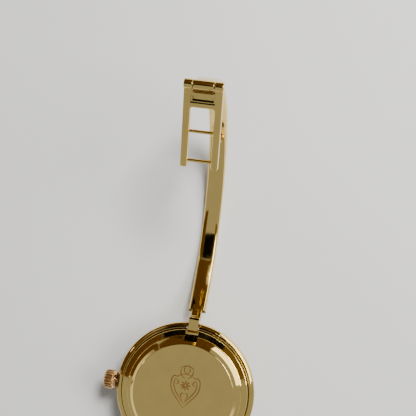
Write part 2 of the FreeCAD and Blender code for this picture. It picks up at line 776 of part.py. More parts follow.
def make_arm(label, tip):
    """An arm in the frame of its bend centre, with the case hinge towards -Y."""
    outer = "-(dims.arm_radius + dims.arm_thickness / 2)"
    inner = "-(dims.arm_radius - dims.arm_thickness / 2)"
    half = "dims.arm_width / 2"
    face = "dims.arm_face / 2"
    tongue = "dims.tongue_width / 2"
    pin_y = "dims.hinge_y - dims.bend_y"
    pin_z = "dims.hinge_z - dims.bend_z"
    body = new_body(label)
    arc_sweep(body, label + "_section", [
        (f"-{half}", outer), (half, outer), (half, f"{inner} - dims.arm_chamfer"), (face, inner),
        (f"-{face}", inner), (f"-{half}", f"{inner} - dims.arm_chamfer"),
    ], "dims.arm_start", tip)
    arc_sweep(body, label + "_neck", [
        (f"-{tongue}", outer), (tongue, outer), (tongue, inner), (f"-{tongue}", inner),
    ], "dims.tongue_start", "0")
    block = polygon(body, label + "_tongue", "YZ_Plane", [
        (pin_y, f"{pin_z} + dims.knuckle_radius"),
        (f"{pin_y} + dims.tongue_reach", f"{pin_z} + dims.knuckle_radius"),
        (f"{inner} * -sin(-dims.tongue_start)", f"{inner} * cos(dims.tongue_start)"),
        (f"{outer} * -sin(-dims.tongue_start)", f"{outer} * cos(dims.tongue_start)"),
        (pin_y, f"{pin_z} - dims.knuckle_radius"),
    ])
    pad(body, block, "dims.tongue_width", both_ways=True)
    knuckle = circle(body, label + "_knuckle", "YZ_Plane", (pin_y, pin_z), "dims.knuckle_radius")
    pad(body, knuckle, "dims.tongue_width", both_ways=True)
    tip_y = f"dims.arm_radius * sin({tip})"
    tip_z = f"-dims.arm_radius * cos({tip})"
    end = circle(body, label + "_tip", "YZ_Plane", (tip_y, tip_z), "dims.knuckle_radius")
    pad(body, end, "dims.arm_width", both_ways=True)
    case_bore = circle(body, label + "_case_bore", "YZ_Plane", (pin_y, pin_z),
                       "dims.case_pin_radius + dims.pin_clearance")
    pocket(body, case_bore, "dims.arm_width", both_ways=True)
    clasp_bore = circle(body, label + "_clasp_bore", "YZ_Plane", (tip_y, tip_z),
                        "dims.clasp_pin_radius + dims.pin_clearance")
    pocket(body, clasp_bore, "dims.arm_width * 2", both_ways=True)
    return body


def polar(radius, turn):
    """A point of the bend's side view, turned outwards from the lowest point."""
    return (f"({radius}) * sin({turn})", f"-({radius}) * cos({turn})")


def put_at_bend(body, side):
    body.Placement.Rotation = FreeCAD.Rotation(FreeCAD.Vector(0, 0, 1), 0 if side > 0 else 180)
    body.setExpression("Placement.Base.y", f"{side} * dims.bend_y")
    body.setExpression("Placement.Base.z", "dims.bend_z")
    return body


def make_arms():
    keep(put_at_bend(make_arm("ladder_arm", "dims.ladder_tip"), 1), "ladder_arm")
    keep(put_at_bend(make_arm("hook_arm", "dims.hook_tip"), -1), "hook_arm")


# ---------------------------------------------------------------- clasp


def make_ladder():
    """The ladder lies along its own +Y from the hinge axis, and is turned to hang from the arm's tip."""
    body = new_body("ladder_frame")
    half = "dims.ladder_width / 2"
    gap = "(dims.ladder_width / 2 - dims.ladder_rail)"
    ear = "dims.ear_gap / 2"
    end = "dims.ladder_length"
    root = "dims.knuckle_radius + dims.root_clearance"
    corner = "dims.rail_corner"
    frame = polygon(body, "ladder_outline", "XY_Plane", [
        (f"-{half}", "0"), (f"-{ear}", "0"), (f"-{ear}", root), (ear, root), (ear, "0"), (half, "0"),
        (half, f"{end} - {corner}"), (f"{half} - {corner}", end), (f"{gap} + {corner}", end),
        (gap, f"{end} - {corner}"),
        (gap, "dims.ladder_head"), (f"-{gap}", "dims.ladder_head"), (f"-{gap}", f"{end} - {corner}"),
        (f"-{gap} - {corner}", end), (f"-{half} + {corner}", end), (f"-{half}", f"{end} - {corner}"),
    ], "-dims.ladder_thickness / 2")
    pad(body, frame, "dims.ladder_thickness")
    for side in (1, -1):
        name = "right" if side > 0 else "left"
        lift = ear if side > 0 else f"-{half}"
        knuckle = circle(body, f"ear_{name}", "YZ_Plane", ("0", "0"), "dims.knuckle_radius", lift)
        pad(body, knuckle, f"{half} - {ear}")
    pin_bore = circle(body, "ladder_bore", "YZ_Plane", ("0", "0"), "dims.clasp_pin_radius")
    pocket(body, pin_bore, "dims.ladder_width + 1", both_ways=True)
    slot_half = "dims.slot_width / 2"
    slot_low = "dims.slot_centre - dims.slot_height / 2"
    slot_high = "dims.slot_centre + dims.slot_height / 2"
    border = "dims.slot_border"
    face = "-dims.ladder_thickness / 2"
    recess = polygon(body, "slot_recess", "XY_Plane", [
        (f"-{slot_half} - {border}", f"{slot_low} - {border}"),
        (f"{slot_half} + {border}", f"{slot_low} - {border}"),
        (f"{slot_half} + {border}", f"{slot_high} + {border}"),
        (f"-{slot_half} - {border}", f"{slot_high} + {border}"),
    ], face)
    pocket(body, recess, "dims.slot_recess", upward=True)
    slot = polygon(body, "slot_opening", "XY_Plane", [
        (f"-{slot_half}", slot_low), (slot_half, slot_low), (slot_half, slot_high), (f"-{slot_half}", slot_high),
    ], face)
    pocket(body, slot, "dims.slot_depth", upward=True)
    for number, place in enumerate(("dims.rung_first", "dims.rung_last")):
        hole = circle(body, f"rung_hole_{number}", "YZ_Plane", (place, "0"), "dims.rung_radius")
        pocket(body, hole, "dims.ladder_width - 1", both_ways=True)
    turn = -(180 - d("ladder_drop"))
    hang_ladder(body, turn)
    keep(body, "ladder_frame")
    rungs = [
        cylinder(f"rung_{number}", "dims.rung_radius", "dims.ladder_width - 1",
                 ("-(dims.ladder_width - 1) / 2", place, "0"), ALONG_X)
        for number, place in enumerate(("dims.rung_first", "dims.rung_last"))
    ]
    pair = group("ladder_rungs", rungs)
    hang_ladder(pair, turn)
    keep(pair, "ladder_rungs")


def hang_ladder(obj, turn):
    """Put a piece made along +Y at the tip of the 12 o'clock arm, turned down by turn degrees about X."""
    obj.Placement.Rotation = FreeCAD.Rotation(FreeCAD.Vector(1, 0, 0), turn)
    obj.setExpression("Placement.Base.y", "dims.bend_y + dims.arm_radius * sin(dims.ladder_tip)")
    obj.setExpression("Placement.Base.z", "dims.bend_z - dims.arm_radius * cos(dims.ladder_tip)")


def make_clasp_pins():
    for label, tip, side in (("ladder_hinge_pin", "dims.ladder_tip", 1), ("lever_hinge_pin", "dims.hook_tip", -1)):
        length = "dims.ladder_width - 0.1" if side > 0 else "dims.lever_width - 0.1"
        pin = cylinder(label + "_rod", "dims.clasp_pin_radius", length, (
            f"-({length}) / 2",
            f"{side} * (dims.bend_y + dims.arm_radius * sin({tip}))",
            f"dims.bend_z - dims.arm_radius * cos({tip})",
        ), ALONG_X)
        keep(pin, label)


def make_lever():
    """The curved cover lever, in the bend's frame, with two ears beside the arm's tip and a claw."""
    body = new_body("hook_lever")
    low = "(dims.arm_radius + dims.arm_thickness / 2 + dims.lever_gap)"
    high = "(dims.arm_radius + dims.arm_thickness / 2 + dims.lever_gap + dims.lever_thickness)"
    half = "dims.lever_width / 2"
    bevel = "dims.lever_bevel"
    sketch = polygon(body, "lever_section", "XZ_Plane", [
        (f"-{half}", f"-{low}"), (half, f"-{low}"), (half, f"-({high} - {bevel})"), (f"{half} - {bevel}", f"-{high}"),
        (f"-{half} + {bevel}", f"-{high}"), (f"-{half}", f"-({high} - {bevel})"),
    ])
    plate = body.newObject("PartDesign::Revolution", "lever_plate")
    plate.Profile = sketch
    plate.ReferenceAxis = (sketch, ["H_Axis"])
    plate.Type = "TwoAngles"
    plate.setExpression("Angle", "dims.hook_tip")
    plate.setExpression("Angle2", "-(dims.hook_tip - dims.lever_span)")
    ear = "(dims.ear_gap / 2)"
    tip_y = "dims.arm_radius * sin(dims.hook_tip)"
    tip_z = "-dims.arm_radius * cos(dims.hook_tip)"
    ear_outline = [
        (f"{tip_y} - 0.6 * sin(dims.hook_tip - 90)", f"{tip_z} - 0.8 * cos(dims.hook_tip - 90)"),
        (f"{low} * sin(dims.hook_tip - 1.8) + 0.1", f"-{low} * cos(dims.hook_tip - 1.8)"),
        (f"({low} + 0.4) * sin(dims.hook_tip)", f"-({low} + 0.4) * cos(dims.hook_tip)"),
        (f"{tip_y}", f"{tip_z} + 0.8"),
    ]
    for name, lift in (("right", ear), ("left", f"-{half}")):
        knuckle = circle(body, f"lever_ear_{name}", "YZ_Plane", (tip_y, tip_z), "dims.knuckle_radius", lift)
        pad(body, knuckle, f"{half} - {ear}")
        web = polygon(body, f"lever_web_{name}", "YZ_Plane", ear_outline, lift)
        pad(body, web, f"{half} - {ear}")
    pin_bore = circle(body, "lever_bore", "YZ_Plane", (tip_y, tip_z), "dims.clasp_pin_radius")
    pocket(body, pin_bore, "dims.lever_width + 1", both_ways=True)
    claw = polygon(body, "lever_claw", "YZ_Plane", [
        polar(f"{low} + 0.1", "dims.hook_tip - 2"),
        polar(f"{low} + 0.1", "dims.hook_tip + dims.claw_reach"),
        polar("dims.arm_radius - 0.2", "dims.hook_tip + dims.claw_reach"),
        polar("dims.arm_radius - 0.2", "dims.hook_tip + dims.claw_end"),
        polar(f"{high} - 0.1", "dims.hook_tip + dims.claw_end"),
        polar(f"{high} - 0.1", "dims.hook_tip - 2"),
    ])
    pad(body, claw, "dims.claw_width", both_ways=True)
    put_at_bend(body, -1)
    keep(body, "hook_lever")


# ---------------------------------------------------------------- output


def check_document():
    doc.recompute()
    failed = [obj.Name for obj in doc.Objects if {"Invalid", "Error"} & set(obj.State)]
    if failed:
        raise RuntimeError(f"failed objects: {failed}")
    for obj in subparts:
        if obj.Shape.isNull() or not obj.Shape.isValid() or not obj.Shape.Solids:
            raise RuntimeError(f"{obj.Label} is not a valid solid")


def write_parts():
    os.makedirs(PARTS_FOLDER, exist_ok=True)
    for obj in subparts:
        obj.Shape.exportStep(os.path.join(PARTS_FOLDER, obj.Label + ".step"))


def main():
    fill_sheet()
    make_case()
    make_dial()
    make_movement()
    make_hand("hour_hand", "dims.hour_hand_length", "dims.hour_hub", "dims.hour_tube", "dims.hour_hand_z")
    make_hand("minute_hand", "dims.minute_hand_length", "dims.minute_hub", "dims.cannon_radius",
              "dims.minute_hand_z")
    make_crown()
    make_arms()
    make_ladder()
    make_clasp_pins()
    make_lever()
    check_document()
    write_parts()


main()
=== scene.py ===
"""Lady's bangle watch lying open on a table, case back up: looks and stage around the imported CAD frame.

The pieces are modelled in millimetres and brought to metres when they are finished.
"""
import json
import math

import bmesh
import bpy
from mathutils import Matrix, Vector


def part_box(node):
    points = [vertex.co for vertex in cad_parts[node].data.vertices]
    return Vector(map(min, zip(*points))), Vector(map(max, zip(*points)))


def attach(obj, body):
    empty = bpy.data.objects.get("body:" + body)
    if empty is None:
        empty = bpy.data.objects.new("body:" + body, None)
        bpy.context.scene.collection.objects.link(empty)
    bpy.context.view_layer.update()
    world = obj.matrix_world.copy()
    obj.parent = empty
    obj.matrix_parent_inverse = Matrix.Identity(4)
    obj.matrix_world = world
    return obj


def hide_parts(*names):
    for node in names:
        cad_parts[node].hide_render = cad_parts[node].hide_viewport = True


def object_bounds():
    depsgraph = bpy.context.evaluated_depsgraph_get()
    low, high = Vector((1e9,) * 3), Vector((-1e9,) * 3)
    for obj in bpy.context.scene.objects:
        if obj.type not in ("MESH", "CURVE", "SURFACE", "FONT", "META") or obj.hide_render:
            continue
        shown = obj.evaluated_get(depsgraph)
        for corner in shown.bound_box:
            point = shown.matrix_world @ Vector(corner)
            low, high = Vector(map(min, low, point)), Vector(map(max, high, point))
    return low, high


bl_info = {
    "name": "Bangle Watch",
    "version": (1, 0, 0),
    "blender": (4, 5, 0),
    "location": "3D View > Sidebar > Bangle Watch",
    "description": "Models and finishes a bangle watch with a hinged band and a ladder clasp",
    "category": "Add Mesh",
}

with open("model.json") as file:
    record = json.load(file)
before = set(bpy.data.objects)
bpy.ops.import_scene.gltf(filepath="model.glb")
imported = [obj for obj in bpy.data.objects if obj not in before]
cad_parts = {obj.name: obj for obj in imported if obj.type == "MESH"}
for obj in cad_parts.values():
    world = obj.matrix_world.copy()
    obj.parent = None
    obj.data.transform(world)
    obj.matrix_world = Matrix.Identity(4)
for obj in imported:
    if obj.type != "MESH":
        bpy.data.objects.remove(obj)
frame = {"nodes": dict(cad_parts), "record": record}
CAD_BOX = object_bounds()
MM = 0.001
ARM_PIN_Y = 11.7      # distance of a case hinge pin from the case axis
ARM_PIN_Z = -3.05     # height of the case hinge pins and of the crown's axis
BARREL_ROOM = 1.68    # half the room between two ears for an arm's barrel
LEVER_TILT = math.radians(-10.0)


def high_mm(node):
    return [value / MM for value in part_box(node)[1]]


# ---------------------------------------------------------------- sizes and colours


def number(name, description, default, **more):
    return bpy.props.FloatProperty(name=name, description=description, default=default, **more)


def angle(name, description, degrees):
    return number(name, description, math.radians(degrees), subtype="ANGLE")


def tone(name, description, default):
    return bpy.props.FloatVectorProperty(name=name, description=description, default=default,
                                         subtype="COLOR", size=3, min=0.0, max=1.0)


class WatchCaseSizes(bpy.types.PropertyGroup):
    """Sizes of the watch case, in millimetres."""

    case_radius: number("Case radius", "Outer radius of the case middle", high_mm("mid_case")[0])
    edge: number("Edge rounding", "Width of the polished edges", 0.04)
    notch_width: number("Notch width", "Width of the slot for an arm's tongue", 2.35)
    notch_floor: number("Notch floor", "Distance of the slot's floor from the centre", 9.7)
    segments: bpy.props.IntProperty(name="Segments", description="Divisions round the case", default=224)


class WatchBandSizes(bpy.types.PropertyGroup):
    """Sizes of the two bangle arms and their clasp, in millimetres and degrees."""

    bend_y: number("Bend centre Y", "Distance of a bend's centre from the case axis", 28.8)
    bend_z: number("Bend centre Z", "Height of a bend's centre", 16.4)
    arm_radius: number("Bend radius", "Radius at the middle of an arm", 25.9)
    arm_width: number("Arm width", "Width of an arm", 3.2)
    arm_thickness: number("Arm thickness", "Thickness of an arm", 1.2)
    arm_chamfer: number("Arm chamfer", "Slope beside the inner face", 0.45)
    tongue_width: number("Tongue width", "Width of the tongue in the case notch", 1.85)
    knuckle: number("Knuckle radius", "Radius of the hinge knuckles", 0.8)
    ladder_tip: angle("Ladder arm sweep", "Sweep of the 12 o'clock arm", 110.0)
    hook_tip: angle("Hook arm sweep", "Sweep of the 6 o'clock arm", 80.0)
    ladder_drop: angle("Ladder drop", "Slope of the ladder below the horizontal", 26.8)


class WatchFinishes(bpy.types.PropertyGroup):
    """Colours of the finishes and brightness of the stage."""

    gold: tone("Gold", "Polished gold plate", (0.87, 0.635, 0.2))
    rose_gold: tone("Crown gold", "Redder gold of the crown", (0.82, 0.5, 0.22))
    floor: tone("Table", "Pale table top", (0.74, 0.74, 0.735))
    window_power: number("Window power", "Power of the soft window light", 1.7, unit="POWER")
    key_power: number("Key lamp power", "Power of the smaller lamp that casts the shadows", 2.3, unit="POWER")
    room: number("Room light", "Brightness of the room", 0.42)


# ---------------------------------------------------------------- working by hand


def case_sizes():
    return bpy.context.scene.watch_case


def band_sizes():
    return bpy.context.scene.watch_band


def finishes():
    return bpy.context.scene.watch_finish


def put_down():
    """Leave edit mode with nothing selected."""
    active = bpy.context.view_layer.objects.active
    if active and active.mode != "OBJECT":
        bpy.ops.object.mode_set(mode="OBJECT")
    bpy.ops.object.select_all(action="DESELECT")


def pick_up(obj):
    put_down()
    obj.select_set(True)
    bpy.context.view_layer.objects.active = obj


def settle(obj):
    """Put the object's place into its mesh."""
    pick_up(obj)
    bpy.ops.object.transform_apply(location=True, rotation=True, scale=True)


def new_primitive(name):
    obj = bpy.context.view_layer.objects.active
    obj.name = name
    obj.data.name = name
    settle(obj)
    return obj


def edit(obj, kind="VERT"):
    pick_up(obj)
    bpy.ops.object.mode_set(mode="EDIT")
    bpy.ops.mesh.select_mode(type=kind)


def choose(obj, test, kind="VERT"):
    """Select the vertices, edges or faces of the mesh being edited that pass a test."""
    bpy.ops.mesh.select_mode(type=kind)
    bpy.ops.mesh.select_all(action="DESELECT")
    work = bmesh.from_edit_mesh(obj.data)
    items = {"VERT": work.verts, "EDGE": work.edges, "FACE": work.faces}[kind]
    for item in items:
        item.select_set(bool(test(item)))
    work.select_flush_mode()
    bmesh.update_edit_mesh(obj.data)


def use_modifier(obj, kind, **settings):
    """Add a modifier, set it and apply it."""
    pick_up(obj)
    modifier = obj.modifiers.new(kind.title(), kind)
    for key, setting in settings.items():
        setattr(modifier, key, setting)
    bpy.ops.object.modifier_apply(modifier=modifier.name)


def round_edges(obj, width, steps=3, limit=28.0):
    use_modifier(obj, "BEVEL", width=width, segments=steps, limit_method="ANGLE",
                 angle_limit=math.radians(limit), use_clamp_overlap=True, miter_outer="MITER_ARC")


def face_outwards(obj):
    edit(obj)
    bpy.ops.mesh.select_all(action="SELECT")
    bpy.ops.mesh.remove_doubles(threshold=0.0002)
    bpy.ops.mesh.normals_make_consistent(inside=False)
    put_down()


def carve(obj, cutter):
    """Cut one solid out of another and throw the cutter away."""
    use_modifier(obj, "BOOLEAN", operation="DIFFERENCE", object=cutter, solver="EXACT")
    bpy.data.objects.remove(cutter)


def weld(obj, other):
    """Join a solid to another one as one closed skin."""
    use_modifier(obj, "BOOLEAN", operation="UNION", object=other, solver="EXACT")
    bpy.data.objects.remove(other)


def block(name, size, centre, turn=(0.0, 0.0, 0.0)):
    put_down()
    bpy.ops.mesh.primitive_cube_add(size=1.0, location=centre, rotation=turn)
    bpy.context.view_layer.objects.active.scale = size
    return new_primitive(name)


def rod(name, radius, length, centre, along="X", sides=48):
    put_down()
    turn = {"X": (0.0, math.pi / 2, 0.0), "Y": (math.pi / 2, 0.0, 0.0), "Z": (0.0, 0.0, 0.0)}[along]
    bpy.ops.mesh.primitive_cylinder_add(vertices=sides, radius=radius, depth=length,
                                        location=centre, rotation=turn)
    return new_primitive(name)


def lathe(name, section, sides, closed):
    """Turn a section round Z: one circle, extruded and scaled from corner to corner.

    A closed section comes back to its first corner; an open one is filled at both ends.
    """
    put_down()
    radius, height = section[0]
    bpy.ops.mesh.primitive_circle_add(vertices=sides, radius=radius, location=(0.0, 0.0, height))
    obj = new_primitive(name)
    edit(obj)
    bpy.ops.mesh.select_all(action="SELECT")
    if not closed:
        bpy.ops.mesh.edge_face_add()
    corners = section[1:] + (section[:1] if closed else [])
    for next_radius, next_height in corners:
        bpy.ops.mesh.extrude_region_move(TRANSFORM_OT_translate={"value": (0.0, 0.0, next_height - height)})
        scale = next_radius / radius
        bpy.ops.transform.resize(value=(scale, scale, 1.0), center_override=(0.0, 0.0, 0.0))
        radius, height = next_radius, next_height
    put_down()
    face_outwards(obj)
    return obj


def sweep(name, width, thickness, chamfer, start, end, side, steps):
    """A flat bar bent round the bend's centre, its inner corners sloped and its outer corners eased."""
    sizes = band_sizes()
    middle = (0.0, side * sizes.bend_y, sizes.bend_z)
    put_down()
    bpy.ops.mesh.primitive_plane_add(size=1.0, location=(0.0, 0.0, -sizes.arm_radius),
                                     rotation=(math.pi / 2, 0.0, 0.0))
    bar = bpy.context.view_layer.objects.active
    bar.scale = (width, thickness, 1.0)
    bar = new_primitive(name)
    edit(bar)
    choose(bar, lambda corner: corner.co.z > -sizes.arm_radius)
    bpy.ops.mesh.bevel(offset=chamfer, offset_type="OFFSET", segments=4, affect="VERTICES", profile=0.42)
    choose(bar, lambda corner: corner.co.z < -sizes.arm_radius and abs(corner.co.x) > width / 2 - 0.001)
    bpy.ops.mesh.bevel(offset=min(0.16, thickness / 4), offset_type="OFFSET", segments=3, affect="VERTICES")
    put_down()
    bar.rotation_euler = (side * start, 0.0, 0.0)
    bar.location = middle
    settle(bar)
    edit(bar, "FACE")
    bpy.ops.mesh.select_all(action="SELECT")
    bpy.ops.mesh.spin(steps=steps, dupli=False, angle=end - start, center=middle, axis=(-side * 1.0, 0.0, 0.0))
    put_down()
    return bar


def finish_piece(obj, body, material, stands_for=(), smooth=32.0):
    """Bring a piece to metres, smooth it, dress it and hand it to its body."""
    pick_up(obj)
    bpy.ops.object.transform_apply(location=True, rotation=True, scale=True)
    obj.scale = (MM, MM, MM)
    bpy.ops.object.transform_apply(location=False, rotation=False, scale=True)
    bpy.ops.object.shade_smooth_by_angle(angle=math.radians(smooth), keep_sharp_edges=False)
    obj.data.materials.clear()
    obj.data.materials.append(material)
    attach(obj, body)
    if stands_for:
        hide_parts(*stands_for)
    put_down()
    return obj


# ---------------------------------------------------------------- finishes


class Finish:
    """A material built from nodes on object coordinates."""

    def __init__(self, name):
        self.material = bpy.data.materials.get(name) or bpy.data.materials.new(name)
        self.material.use_nodes = True
        self.tree = self.material.node_tree
        self.tree.nodes.clear()
        self.output = self.add("ShaderNodeOutputMaterial")
        self.shader = self.add("ShaderNodeBsdfPrincipled")
        self.place = self.add("ShaderNodeTexCoord")
        self.link(self.shader, "BSDF", self.output, "Surface")

    def add(self, kind, **settings):
        node = self.tree.nodes.new(kind)
        for key, setting in settings.items():
            setattr(node, key, setting)
        return node

    def link(self, source, out, target, into):
        self.tree.links.new(source.outputs[out], target.inputs[into])

    def set(self, **sockets):
        for key, setting in sockets.items():
            self.shader.inputs[key.replace("_", " ")].default_value = setting

    def pattern(self, scale, detail=3.0, stretch=(1.0, 1.0, 1.0), turn=0.0, roughness=0.5):
        """Noise on the piece; scale counts its patches per millimetre."""
        mapping = self.add("ShaderNodeMapping")
        mapping.inputs["Scale"].default_value = [part * scale / MM for part in stretch]
        mapping.inputs["Rotation"].default_value = (0.0, 0.0, turn)
        noise = self.add("ShaderNodeTexNoise")
        noise.inputs["Scale"].default_value = 1.0
        noise.inputs["Detail"].default_value = detail
        noise.inputs["Roughness"].default_value = roughness
        self.link(self.place, "Object", mapping, "Vector")
        self.link(mapping, "Vector", noise, "Vector")
        return noise

    def ramp(self, source, out, stops):
        ramp = self.add("ShaderNodeValToRGB")
        band = ramp.color_ramp
        while len(band.elements) < len(stops):
            band.elements.new(0.5)
        for element, (position, colour) in zip(band.elements, stops):
            element.position = position
            element.color = (*colour, 1.0)
        self.link(source, out, ramp, "Fac")
        return ramp

    def span(self, source, out, low, high, from_low=0.3, from_high=0.7):
        node = self.add("ShaderNodeMapRange")
        node.inputs["From Min"].default_value = from_low
        node.inputs["From Max"].default_value = from_high
        node.inputs["To Min"].default_value = low
        node.inputs["To Max"].default_value = high
        self.link(source, out, node, "Value")
        return node

    def maths(self, operation, first, second):
        node = self.add("ShaderNodeMath", operation=operation)
        for place, item in enumerate((first, second)):
            if isinstance(item, tuple):
                self.tree.links.new(item[0].outputs[item[1]], node.inputs[place])
            else:
                node.inputs[place].default_value = item
        return node

    def bump(self, source, out, strength, depth):
        node = self.add("ShaderNodeBump")
        node.inputs["Strength"].default_value = strength
        node.inputs["Distance"].default_value = depth * MM
        self.link(source, out, node, "Height")
        self.link(node, "Normal", self.shader, "Normal")
        return node


def shade(colour, factor):
    return tuple(min(1.0, part * factor) for part in colour)


def plated_gold(name, colour, rough, scratch, wave):
    """Polished gold plate: mirror-like, with faint wiping marks, hairline scratches and slow waves, and painted
    shade that darkens it to dark brown in recesses and corners.
    """
    gold = Finish(name)
    gold.set(Metallic=1.0)
    cloud = gold.pattern(0.35, detail=4.0)
    tint = gold.ramp(cloud, "Fac", [(0.3, shade(colour, 0.95)), (0.55, colour), (0.8, shade(colour, 1.04))])
    # Painted shade: an ambient-occlusion mask mixes the gold towards dark brown in recesses, narrow gaps and
    # corners, where shade falls.
    corner = gold.add("ShaderNodeAmbientOcclusion", samples=6)
    corner.inputs["Distance"].default_value = 0.7 * MM
    painted_shade_mask = gold.span(corner, "AO", 0.0, 1.0, 0.12, 0.55)
    painted_recess_shade = gold.add("ShaderNodeMix", data_type="RGBA")
    painted_recess_shade.inputs[6].default_value = (0.05, 0.022, 0.006, 1.0)
    gold.link(painted_shade_mask, "Result", painted_recess_shade, 0)
    gold.tree.links.new(tint.outputs["Color"], painted_recess_shade.inputs[7])
    gold.tree.links.new(painted_recess_shade.outputs[2], gold.shader.inputs["Base Color"])
    along = gold.pattern(0.22, detail=5.0, stretch=(1.0, 34.0, 1.0), turn=0.5, roughness=0.7)
    across = gold.pattern(0.22, detail=5.0, stretch=(30.0, 1.0, 1.0), turn=-0.35, roughness=0.7)
    hairs = gold.maths("MULTIPLY", (along, "Fac"), (across, "Fac"))
    wiped = gold.pattern(0.6, detail=5.0)
    film = gold.span(wiped, "Fac", rough, rough + 0.07, 0.42, 0.78)
    lines = gold.span(hairs, "Value", 0.0, scratch, 0.24, 0.44)
    sheen = gold.maths("ADD", (film, "Result"), (lines, "Result"))
    gold.link(sheen, "Value", gold.shader, "Roughness")
    slow = gold.pattern(0.16, detail=1.0)
    height = gold.maths("ADD", (slow, "Fac"), (gold.maths("MULTIPLY", (hairs, "Value"), 0.05), "Value"))
    gold.bump(height, "Value", 0.35, wave)
    return gold.material


def gold_case():
    return plated_gold("case_gold", tuple(finishes().gold), 0.03, 0.04, 0.04)


def gold_back():
    return plated_gold("case_back_gold", tuple(finishes().gold), 0.04, 0.05, 0.02)


def gold_band():
    return plated_gold("band_gold", tuple(finishes().gold), 0.035, 0.05, 0.08)


def engraved_gold():
    return plated_gold("engraved_line_gold", (0.42, 0.22, 0.07), 0.3, 0.1, 0.03)


def gold_crown():
    return plated_gold("crown_gold", tuple(finishes().rose_gold), 0.06, 0.08, 0.04)


def worked_metal(name, colour, rough, grain):
    """Plain machined metal with a fine grain."""
    metal = Finish(name)
    metal.set(Metallic=1.0)
    cloud = metal.pattern(0.8, detail=4.0)
    tint = metal.ramp(cloud, "Fac", [(0.3, shade(colour, 0.82)), (0.7, shade(colour, 1.06))])
    metal.link(tint, "Color", metal.shader, "Base Color")
    lines = metal.pattern(1.2, detail=4.0, stretch=grain, turn=0.2)
    metal.link(metal.span(lines, "Fac", rough, rough + 0.22), "Result", metal.shader, "Roughness")
    metal.bump(lines, "Fac", 0.25, 0.006)
    return metal.material


def moulded(name, colour, rough, pits):
    """Moulded plastic or rubber with a slight tooth."""
    plastic = Finish(name)
    cloud = plastic.pattern(1.1, detail=3.0)
    tint = plastic.ramp(cloud, "Fac", [(0.3, shade(colour, 0.8)), (0.7, shade(colour, 1.12))])
    plastic.link(tint, "Color", plastic.shader, "Base Color")
    tooth = plastic.pattern(9.0, detail=2.0)
    plastic.link(plastic.span(tooth, "Fac", rough, rough + 0.15), "Result", plastic.shader, "Roughness")
    plastic.bump(tooth, "Fac", 0.4, pits)
    return plastic.material


def watch_glass():
    """Mineral glass with a trace of wiping marks."""
    glass = Finish("watch_glass")
    glass.set(Transmission_Weight=1.0, IOR=1.5, Base_Color=(0.98, 0.99, 0.985, 1.0))
    marks = glass.pattern(0.5, detail=5.0)
    glass.link(glass.span(marks, "Fac", 0.0, 0.035, 0.5, 0.8), "Result", glass.shader, "Roughness")
    return glass.material


def sunray_dial():
    """Champagne dial: fine brushing that runs out from the centre under clear lacquer."""
    dial = Finish("champagne_dial")
    dial.set(Metallic=0.75, Coat_Weight=0.6, Coat_Roughness=0.06)
    split = dial.add("ShaderNodeSeparateXYZ")
    dial.link(dial.place, "Object", split, "Vector")
    angle = dial.maths("ARCTAN2", (split, "Y"), (split, "X"))
    rays = dial.add("ShaderNodeTexNoise", noise_dimensions="1D")
    rays.inputs["Scale"].default_value = 58.0
    rays.inputs["Detail"].default_value = 5.0
    dial.link(angle, "Value", rays, "W")
    tint = dial.ramp(rays, "Fac", [(0.3, (0.62, 0.47, 0.24)), (0.7, (0.86, 0.7, 0.42))])
    dial.link(tint, "Color", dial.shader, "Base Color")
    dial.link(dial.span(rays, "Fac", 0.26, 0.42), "Result", dial.shader, "Roughness")
    dial.bump(rays, "Fac", 0.2, 0.01)
    return dial.material


def slot_finish(slot):
    """The finish of a CAD part that stays as it is."""
    makers = {
        "gold_case": gold_case,
        "gold_band": gold_band,
        "gold_crown": gold_crown,
        "crystal": watch_glass,
        "dial": sunray_dial,
        "markers": lambda: worked_metal("marker_gold", (0.86, 0.62, 0.24), 0.1, (1.0, 8.0, 1.0)),
        "hands": lambda: worked_metal("hand_gold", (0.84, 0.6, 0.22), 0.12, (1.0, 8.0, 1.0)),
        "movement": lambda: worked_metal("movement_brass", (0.78, 0.62, 0.34), 0.2, (1.0, 16.0, 1.0)),
        "steel": lambda: worked_metal("polished_steel", (0.62, 0.61, 0.6), 0.14, (12.0, 1.0, 1.0)),
        "battery": lambda: worked_metal("cell_steel", (0.72, 0.72, 0.71), 0.22, (3.0, 3.0, 1.0)),
        "board": lambda: moulded("circuit_board_green", (0.03, 0.16, 0.07), 0.35, 0.004),
        "chip": lambda: moulded("chip_resin", (0.015, 0.015, 0.017), 0.3, 0.003),
        "copper": lambda: worked_metal("coil_copper", (0.83, 0.42, 0.24), 0.2, (40.0, 1.0, 1.0)),
        "ring": lambda: moulded("moulded_ring", (0.78, 0.77, 0.73), 0.4, 0.004),
        "rubber": lambda: moulded("gasket_rubber", (0.02, 0.02, 0.021), 0.5, 0.006),
    }
    return makers[slot]()


# ---------------------------------------------------------------- case


def tongue_notch(name, side):
    """A cutter for the slot that an arm's tongue drops into, deeper where it opens at the rim."""
    sizes = case_sizes()
    outer = sizes.case_radius + 1.0
    base, sill, top = -4.1, 11.2, 2.0
    width = sizes.notch_width
    cutter = block(name, (width, outer - sizes.notch_floor, top - base),
                   (0.0, side * (sizes.notch_floor + outer) / 2, (top + base) / 2))
    weld(cutter, block(name + "_mouth", (width, outer - sill, 8.0), (0.0, side * (sill + outer) / 2, -2.2)))
    return cutter


class WATCH_OT_case_middle(bpy.types.Operator):
    """Turn the case middle and cut its two notches"""

    bl_idname = "watch.case_middle"
    bl_label = "Case Middle"

    def execute(self, context):
        sizes = case_sizes()
        radius = sizes.case_radius
        section = [
            (9.2, -2.45), (11.82, -2.45), (11.85, -2.24), (11.93, -2.2), (12.32, -2.28), (12.74, -2.58),
            (radius, -2.72), (radius, -4.1), (radius - 0.4, -4.75), (8.9, -4.75), (8.9, -3.8), (9.2, -3.8),
        ]
        ring = lathe("case_middle", section, sizes.segments, closed=True)
        round_edges(ring, sizes.edge, steps=2, limit=20.0)
        for side in (1, -1):
            carve(ring, tongue_notch("case_notch", side))
        finish_piece(ring, "case", gold_case(), ("mid_case",))
        return {"FINISHED"}


